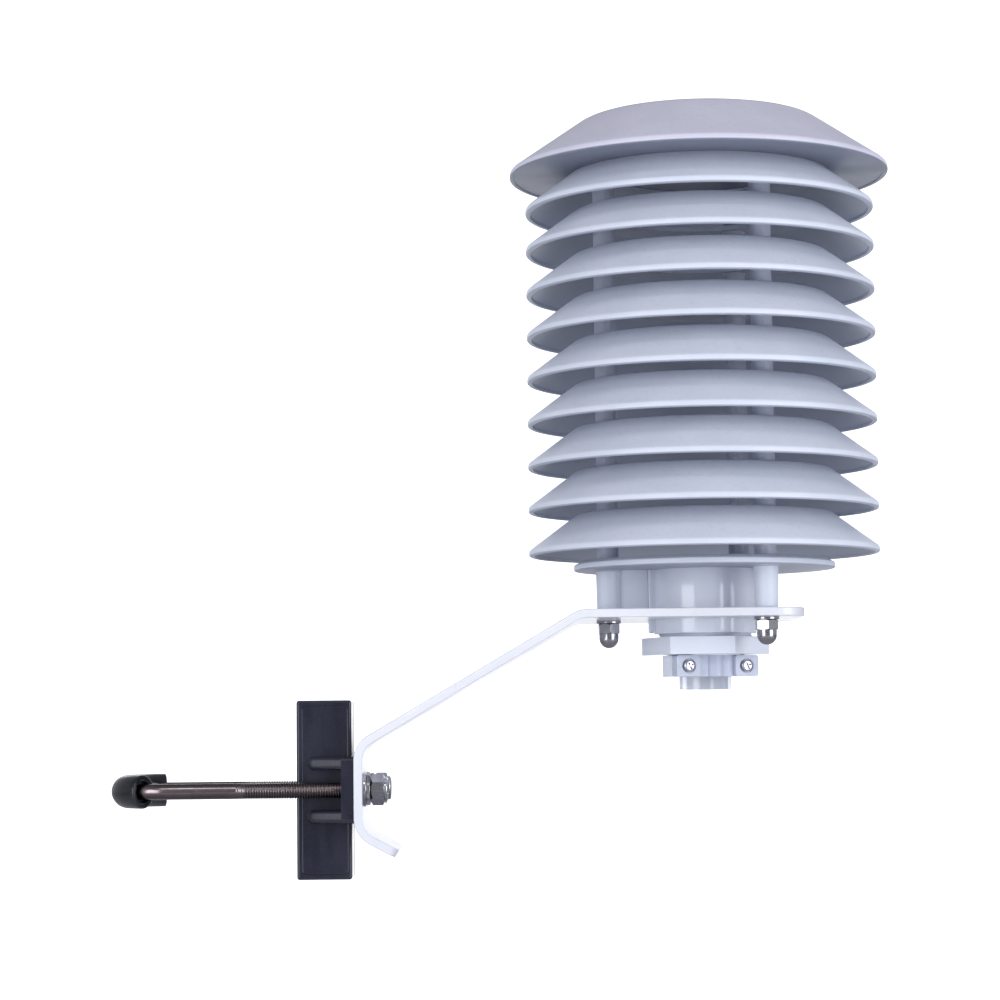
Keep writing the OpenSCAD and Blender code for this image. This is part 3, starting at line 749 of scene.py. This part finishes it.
# ---------------------------------------------------------------- base plate
# Moulded disc that carries the louvres, on three tapered standoffs that sit on the
# bracket's pad, with one web that keys it against the collar.
under_base = 105.3
top_base = 109.6
base = bmesh.new()
base_hole, base_r = 22.05, 64
outline = rounded(
    [
        (base_hole, under_base),
        (base_r, under_base),
        (base_r, top_base - 1.6),
        (base_r - 3.2, top_base),
        (base_hole, top_base),
    ],
    [0.2, 0.6, 0.8, 0.8, 0.2],
    4,
)
loft(base, [circle(r, z, 144) for r, z in outline], at_shield, True)
for place in rod_places:
    outline = [
        (rod_hole / 2, pad_top),
        (5.4, pad_top),
        (5.6, pad_top + 0.2),
        (6, under_base - 0.7),
        (6.5, under_base - 0.2),
        (6.5, under_base + 1.2),
        (rod_hole / 2, under_base + 1.2),
    ]
    loft(base, [circle(r, z, 48) for r, z in outline], place, True)
web = block((28.2, -1.5, pad_top), (43.5, 1.5, 106), at_key)
base = gathered([base, web])


def shield_plastic(name, light, dark, dust, painted_shade_below):
    """Light moulded plastic with a fine grain, dusty where it faces up, and painted darker underneath as
    shade.
    """
    made = Finish(name, {"IOR": 1.46})
    bloom = made.between(made.grain(26, 3), 0.3, 0.7)
    upward = made.between(made.facing("Z"), 0.35, 0.95)
    settled = made.between(made.grain(2.2, 4), 0.5, 0.75) * upward
    # Painted shade: faces turned downward take the last colour, a darker grey.
    painted_shade_share = made.between(made.facing("Z") * -1, 0.1, 0.6)
    skin = made.blend(settled * 0.35, made.blend(bloom, light, dark), dust)
    made.colour(made.blend(painted_shade_share, skin, painted_shade_below))
    made.roughness(0.42 + 0.1 * bloom)
    made.relief(made.grain(0.6, 2) + 0.6 * made.grain(2.4, 2), 0.02)
    return made


# The last colour is painted shade for the undersides.
dust_and_shade_plastic = shield_plastic(
    "louvre_plastic", paint(213, 219, 233), paint(219, 224, 237), paint(196, 200, 214), paint(174, 179, 194)
)
piece("base_disc", base, "shield_frame", dust_and_shade_plastic, ["base_plate"])

# ---------------------------------------------------------------- louvres
# Nine hollow plates moulded in light plastic, threaded on the three rods. Each has a
# rounded lip, a sloped flank and three tubular posts that space it from the next.


def shell_outline(radius, height, slope, shoulder_r, bore_r, crown):
    """Half section of a hollow plate with its bottom at zero."""
    wall, lip = 2.6, 2.8
    shoulder = radius - (height - crown - lip) / math.tan(math.radians(slope))
    inner_shoulder = shoulder - wall * math.tan(math.radians(slope / 2))
    inner_lip = lip - wall * math.tan(math.radians((90 - slope) / 2))
    top_z = height - crown * bore_r / shoulder
    bore_edge = 0.3 if bore_r else 0
    return rounded(
        [(radius - wall, 0), (radius, 0), (radius, lip), (shoulder, height - crown), (bore_r, top_z),
         (bore_r, top_z - wall), (inner_shoulder, height - crown - wall), (radius - wall, inner_lip)],
        [0.5, 1.0, 2.2, shoulder_r, bore_edge, bore_edge, max(shoulder_r - wall, 0.5), 0.6],
        7,
    )


louvre_r, louvre_h, louvre_hole = 86, 20.2, 39
louvre_slope = 36.5
louvre_pitch, top_pitch = 21.4, 19.7
post_r, post_foot_r = 5.25, 6.2
louvre_rims = {9: top_base + 3}
for number in range(8, 1, -1):
    louvre_rims[number] = louvre_rims[number + 1] + louvre_pitch
louvre_rims[1] = louvre_rims[2] + top_pitch
for number, rim in louvre_rims.items():
    louvre = bmesh.new()
    outline = shell_outline(louvre_r, louvre_h, louvre_slope, 5, louvre_hole, 0)
    loft(louvre, [circle(r, rim + z, 160) for r, z in outline], at_shield, True)
    below = top_base if number == 9 else louvre_rims[number + 1] + louvre_h
    for place in rod_places:
        outline = [
            (rod_hole / 2, below),
            (post_r - 0.2, below),
            (post_r, below + 0.2),
            (post_r, rim + 16.4),
            (post_foot_r, rim + 17.8),
            (post_foot_r, rim + 19),
            (rod_hole / 2, rim + 19),
        ]
        loft(louvre, [circle(r, z, 40) for r, z in outline], place, True)
    name = "louvre_%d" % number
    piece(name.replace("_", "_shell_"), louvre, "shield_frame", dust_and_shade_plastic, [name])

# ---------------------------------------------------------------- cap
# The top plate: a deeper closed dish of the same plastic with a low crown. Its
# finned posts hold the brass inserts that the rods screw into.
cap_rim = louvre_rims[1] + 18.3
cap_r, cap_h, cap_slope = 93.6, 30.4, 34.5
cap_shoulder, cap_crown = 16, 2.4
cap = bmesh.new()
outline = shell_outline(cap_r, cap_h, cap_slope, cap_shoulder, 0, cap_crown)
loft(cap, [circle(r, cap_rim + z, 160) for r, z in outline], at_shield)
post_low = louvre_rims[1] + louvre_h
post_high = cap_rim + 26
insert_r = 4.2
for place in rod_places:
    outline = [
        (insert_r, post_low),
        (post_r - 0.2, post_low),
        (post_r, post_low + 0.2),
        (post_r, post_high),
        (insert_r, post_high),
    ]
    loft(cap, [circle(r, z, 40) for r, z in outline], place, True)
    for turn in (0, 60, 120, 180, 240, 300):
        fin = rounded([(4.6, -0.7), (7, -0.7), (7, 0.7), (4.6, 0.7)], [0, 0.5, 0.5, 0], 3)
        loft(
            cap,
            [[(x, y, z) for x, y in fin] for z in (post_low + 2.5, post_high)],
            place @ Matrix.Rotation(math.radians(turn), 4, "Z"),
        )
# The last colour, much darker, is painted shade for the cap's underside and inside.
cap_plastic = shield_plastic(
    "cap_plastic", paint(208, 207, 224), paint(213, 212, 228), paint(190, 188, 204), paint(132, 137, 153)
)
piece("cap_shell", cap, "shield_frame", cap_plastic, ["cap_plate"])

# ---------------------------------------------------------------- rods and inserts
# Three stainless rods hold the stack; they screw into knurled brass inserts
# moulded in the cap. The solids are the exact ones, with a machined finish.
brass = Finish("turned_brass", {"Metallic": 1.0})
tarnish = brass.between(brass.grain(1.5, 4), 0.35, 0.7)
brass.colour(brass.blend(tarnish, paint(214, 178, 98), paint(168, 128, 66)))
brass.roughness(0.24 + 0.16 * tarnish)
brass.relief(brass.grain(0.4, 2, (1, 1, 0.2)), 0.02)


def coat(node, finish):
    """Gives a solid of the CAD a finish in place of its plain colour."""
    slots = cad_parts[node].data.materials
    slots.clear()
    slots.append(finish.material)


for number in (1, 2, 3):
    coat("tie_rod_%d" % number, drawn)
coat("rod_inserts", brass)

# ---------------------------------------------------------------- rod washers
# Plain turned steel washers, one on each rod, between the pad's underside and its
# domed nut, so that the nut doesn't mark the coating.
nut_seat = pad_under - washer_t
rod_washers = bmesh.new()
for place in rod_places:
    outline = [(3.2, nut_seat), (6, nut_seat), (6, pad_under), (3.2, pad_under)]
    outline = rounded(outline, [0.15, 0.35, 0.35, 0.15], 4)
    loft(rod_washers, [circle(r, z, 64) for r, z in outline], place, True)
piece("rod_plain_washers", rod_washers, "shield_frame", bright, ["rod_washers"])

# ---------------------------------------------------------------- cap nuts
# Domed nuts, AF 10, of polished steel. They close the lower ends of the rods and
# clamp the whole stack down on the pad.
dome_r = 4.75
cap_nut_flats, cap_nut_hex = 10, 5
cap_nut_bore, cap_nut_deep = 3.05, 7
dome_start = cap_nut_hex + 2.25
cap_nuts = bmesh.new()
for place in rod_places:
    rings = [circle(0, -cap_nut_deep), circle(cap_nut_bore, -cap_nut_deep), circle(cap_nut_bore, 0)]
    rings += hexagon(cap_nut_flats, -cap_nut_hex, 0)[::-1]
    rings += [circle(dome_r, -cap_nut_hex - 0.05), circle(dome_r, -dome_start)]
    for degrees in range(10, 91, 10):
        turn = math.radians(degrees)
        rings.append(circle(dome_r * math.cos(turn), -dome_start - dome_r * math.sin(turn)))
    turned = place @ Matrix.Translation((0, 0, nut_seat)) @ Matrix.Rotation(math.radians(30), 4, "Z")
    loft(cap_nuts, rings, turned)
piece("domed_nuts", cap_nuts, "shield_frame", bright, ["rod_cap_nuts"])

# ---------------------------------------------------------------- sensor collar
# A glossy moulded sleeve keyed into the bracket; its threaded lower end takes the
# gland nut, and the sensor stem passes up through it into the shield.
stub_pitch = 1.5
stub_low = 68.2
seal_r, seal_top = 16.5, 76
port_r, port_top = 12, 79
collar_r, collar_end = 25.2, 73.7
bore_r = 18


def stub_ring(height):
    """A ring of the collar's coarse thread."""

    def reach(angle):
        phase = (height / stub_pitch - angle / math.tau) % 1
        return 23 - 0.6 * min(1.0, max(0.0, abs(2 * phase - 1) * 1.3 - 0.15))

    return circle(reach, height)


collar = bmesh.new()
rings = [circle(seal_r, seal_top), circle(seal_r, stub_low + 0.2), circle(seal_r + 0.2, stub_low)]
rings += [circle(22.2, stub_low)]
rings += [stub_ring(stub_low + 0.1 + step * 0.19) for step in range(28)]
rings += [circle(22.6, collar_end)]
barrel = [
    (collar_r - 0.6, collar_end),
    (collar_r - 0.3, collar_end + 0.08),
    (collar_r - 0.08, collar_end + 0.3),
    (collar_r, collar_end + 0.6),
    (collar_r, under_base - 0.3),
    (collar_r - 0.1, under_base),
]
spigot = [
    (22, under_base),
    (22, top_base - 0.2),
    (21.8, top_base),
    (bore_r + 0.2, top_base),
    (bore_r, top_base - 0.2),
]
throat = [(bore_r, port_top), (port_r, port_top), (port_r, seal_top)]
rings += [circle(r, z) for r, z in barrel + spigot + throat]
loft(collar, rings, at_shield, True)
key = block((24.2, -3, collar_end + 0.6), (28, 3, under_base), at_key)
bmesh.ops.bevel(
    key,
    geom=[edge for edge in key.edges if abs(edge.verts[0].co.z - edge.verts[1].co.z) > 5],
    offset=0.5,
    segments=3,
    profile=0.5,
    affect="EDGES",
)
collar = gathered([collar, key])

gloss = Finish("glossy_white_plastic", {"IOR": 1.5, "Coat Weight": 0.3, "Coat Roughness": 0.08})
cast = gloss.between(gloss.grain(17, 3), 0.3, 0.7)
handled = gloss.between(gloss.grain(3, 4), 0.45, 0.75)
gloss.colour(gloss.blend(cast, paint(228, 233, 244), paint(225, 230, 241)))
gloss.roughness(0.12 + 0.04 * cast + 0.05 * handled)
gloss.relief(gloss.grain(5, 1), 0.005)
piece("collar_sleeve", collar, "shield_frame", gloss, ["sensor_collar"])

# ---------------------------------------------------------------- gland nut
# A large moulded hexagon of the collar's plastic, open in the middle. It screws on
# the collar and squeezes the seal on the stem.
gland_low = 63.5
gland_flats = 54
gland_h = 8.6
gland_bore, gland_lip = 23.05, 19
turned_nut = (
    at_shield @ Matrix.Rotation(math.radians(-7), 4, "Z") @ Matrix.Translation((0, 0, gland_low))
)
gland = bmesh.new()
rings = [circle(gland_bore, 2), circle(gland_lip, 2), circle(gland_lip, 0.4), circle(gland_lip + 0.4, 0)]
rings += [hex_ring(gland_flats - 0.8, 0), hex_ring(gland_flats - 0.2, 0.1), hex_ring(gland_flats, 0.4)]
rings += [hex_ring(gland_flats, gland_h - 0.4), hex_ring(gland_flats - 0.2, gland_h - 0.1)]
rings += [hex_ring(gland_flats - 0.8, gland_h), circle(23.5, gland_h), circle(gland_bore, gland_h - 0.4)]
loft(gland, rings, turned_nut, True)
piece("gland_hexagon", gland, "gland_ring", gloss, ["gland_nut"])

# ---------------------------------------------------------------- seal and ring
# Inside the gland: a thick grey rubber ring that grips the stem, and the slip ring
# under it. Both keep their exact solids.
rubber = Finish("grey_seal_rubber", {"IOR": 1.5})
bloomed = rubber.between(rubber.grain(4, 4), 0.35, 0.7)
rubber.colour(rubber.blend(bloomed, paint(92, 94, 98), paint(112, 113, 117)))
rubber.roughness(0.62 + 0.14 * bloomed)
rubber.relief(rubber.grain(0.5, 3), 0.03)
coat("gland_seal", rubber)
coat("pressure_ring", gloss)

# ---------------------------------------------------------------- clamp jaw
# Moulded in white: a flange held by the gland nut, a neck, an open trough for the
# cable and a square jaw that the saddle screws to.
clamp = at_shield @ Matrix.Rotation(math.radians(20), 4, "Z")
flange_low, flange_high = 65.8, 67.4
jaw_low, jaw_high = 52.85, 63.15
jaw_half = 21.7
jaw_front, jaw_back = -8.65, 3
flange_d, neck_d = 45, 37.3
trough_low = 46.65
trough_r, cable_r = 13.2, 11.2
split_y = -9
jaw = plug(flange_d, flange_low, flange_high, clamp, 96)
jaw = combined(jaw, plug(neck_d, jaw_high, 66.6, clamp, 96), "UNION")
trough = combined(
    plug(2 * trough_r, trough_low, flange_low, clamp, 80),
    block((-27, -28, 46), (27, -1.5, 67), clamp),
    "DIFFERENCE",
)
jaw = combined(jaw, trough, "UNION")
jaw = combined(jaw, block((-jaw_half, jaw_front, jaw_low), (jaw_half, jaw_back, jaw_high), clamp), "UNION")
jaw = combined(jaw, plug(2 * cable_r, 45, 69, clamp, 80), "DIFFERENCE")
jaw = combined(jaw, block((-cable_r, split_y, jaw_low - 1), (cable_r, 0, jaw_high), clamp), "DIFFERENCE")
piece("jaw_moulding", jaw, "gland_head", gloss, ["clamp_jaw"], 0.4, 40)

# ---------------------------------------------------------------- saddle
# The clamp's front bar, two ears joined by a sunk strap with a half-round ridge in
# the middle; a screw through each ear pulls it on to the jaw.
ear_face, strap_face = -14.5, -12.1
ear_start, strap_half = 9.5, 10.6
saddle = block((-strap_half, strap_face, jaw_low), (strap_half, split_y, jaw_high), clamp)
for side in (-1, 1):
    low_x, high_x = sorted((side * ear_start, side * jaw_half))
    ear = block((low_x, ear_face, jaw_low), (high_x, split_y, jaw_high), clamp)
    bmesh.ops.bevel(
        ear,
        geom=[edge for edge in ear.edges
              if abs(edge.verts[0].co.z - edge.verts[1].co.z) < 1e-3
              and (edge.verts[0].co - edge.verts[1].co).length < 6],
        offset=1.2,
        segments=4,
        profile=0.5,
        affect="EDGES",
    )
    saddle = combined(saddle, ear, "UNION")
ridge = combined(
    plug(9, jaw_low, jaw_high, clamp @ Matrix.Translation((0, -10.3, 0)), 64),
    block((-9, split_y, 52), (9, 0, 64), clamp),
    "DIFFERENCE",
)
saddle = combined(saddle, ridge, "UNION")
screw_out = 15.3
screw_z = (jaw_low + jaw_high) / 2
screw_seat = 13.7
pocket_d, clearance_d = 7.2, 3.7
screw_places = {}
for side in (-1, 1):
    centre = clamp @ Matrix.Translation((side * screw_out, 0, screw_z))
    screw_places[side] = centre @ Matrix.Rotation(math.radians(90), 4, "X")
pockets = [plug(pocket_d, screw_seat, 16, place, 48) for place in screw_places.values()]
saddle = combined(saddle, gathered(pockets), "DIFFERENCE")
shafts = [plug(clearance_d, 8, screw_seat + 0.3, place, 32) for place in screw_places.values()]
saddle = combined(saddle, gathered(shafts), "DIFFERENCE")
satin = Finish("satin_white_plastic", {"IOR": 1.46})
even = satin.between(satin.grain(9, 3), 0.3, 0.7)
satin.colour(satin.blend(even, paint(192, 198, 215), paint(187, 193, 211)))
satin.roughness(0.34 + 0.08 * even)
satin.relief(satin.grain(3, 1), 0.006)
piece("saddle_bar", saddle, "saddle", satin, ["cable_saddle"], 0.4, 40)

# ---------------------------------------------------------------- saddle screws
# Two small pan-head machine screws with a cross recess, of plated steel. They run
# through the saddle's ears into the jaw.
plated = Finish("plated_steel", {"Metallic": 1.0})
dull = plated.between(plated.grain(1.4, 3), 0.35, 0.7)
plated.colour(plated.blend(dull, paint(206, 206, 212), paint(170, 170, 178)))
plated.roughness(0.2 + 0.12 * dull)
plated.relief(plated.grain(0.3, 2), 0.006)
shaft_r = 1.5
head_r = 2.9
head_low, head_side, head_round = 14, 14.9, 1.1
recess_long, recess_half = 1.8, 0.45
for name, side in (("left", -1), ("right", 1)):
    place = screw_places[side]
    screw = bmesh.new()
    outline = [(shaft_r, 0), (shaft_r, head_low), (head_r, head_low), (head_r, head_side)]
    rings = [circle(r, z, 48) for r, z in outline]
    for degrees in range(15, 91, 15):
        turn = math.radians(degrees)
        reach = head_r - head_round * (1 - math.cos(turn))
        rings.append(circle(reach, head_side + head_round * math.sin(turn), 48))
    rings.append(circle(0, head_side + head_round, 48))
    loft(screw, rings, place)
    slots = []
    for degrees in (25, 115):
        slot = place @ Matrix.Rotation(math.radians(degrees), 4, "Z")
        slots.append(block((-recess_long, -recess_half, 14.8), (recess_long, recess_half, 17), slot))
    slots = combined(*slots, "UNION")
    screw = combined(screw, slots, "DIFFERENCE")
    piece("pan_screw_" + name, screw, name + "_screw", plated, ["saddle_screw_" + name])
